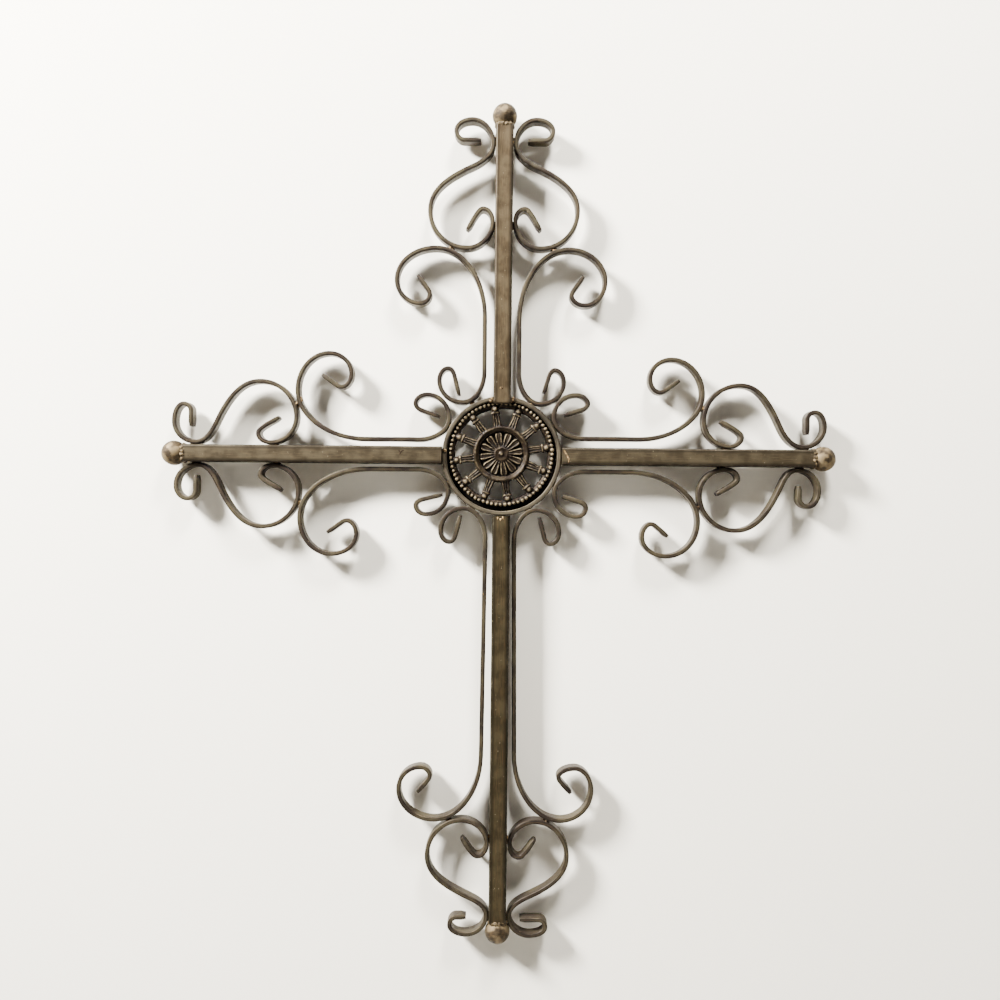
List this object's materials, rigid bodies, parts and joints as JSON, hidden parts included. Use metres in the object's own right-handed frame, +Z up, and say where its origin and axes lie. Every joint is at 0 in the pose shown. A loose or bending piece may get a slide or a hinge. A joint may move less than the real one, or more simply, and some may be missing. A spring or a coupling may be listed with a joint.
{
  "type": "wall cross",
  "caption": "Wall-hung ornamental metal cross: square bar arms ending in balls, edged with bent strip scrolls, round a hooped cast medallion with beads, spokes and a rosette.",
  "frame": {"origin": "on the back face of the upper bar, at the spot that rests on the wall's hook or nail, 24 mm below the upper ball's centre", "axes": "+Z up along the long arm, +X to the viewer's right along the cross arm, +Y into the wall; the ornament faces -Y"},
  "size_m": [0.4899, 0.0181, 0.6104],
  "materials": {
    "bar": "antiqued bronze paint, satin, rubbed along the edges",
    "ball": "antiqued bronze paint, mottled with brighter gold",
    "strip": "dark antiqued bronze paint, satin, rubbed along the edges",
    "casting": "near-black recesses with dry-brushed bronze on the raised relief"
  },
  "bodies": {
    "root": {"centre_hoop": "strip", "centre_medallion": "casting", "upper_bar": "bar", "upper_ball": "ball", "upper_left_long_scroll": "strip", "upper_left_s_scroll": "strip", "upper_right_long_scroll": "strip", "upper_right_s_scroll": "strip", "lower_bar": "bar", "lower_ball": "ball", "lower_left_long_scroll": "strip", "lower_left_s_scroll": "strip", "lower_right_long_scroll": "strip", "lower_right_s_scroll": "strip", "left_bar": "bar", "left_ball": "ball", "left_top_long_scroll": "strip", "left_top_s_scroll": "strip", "left_bottom_long_scroll": "strip", "left_bottom_s_scroll": "strip", "right_bar": "bar", "right_ball": "ball", "right_top_long_scroll": "strip", "right_top_s_scroll": "strip", "right_bottom_long_scroll": "strip", "right_bottom_s_scroll": "strip"}
  },
  "joints": []
}
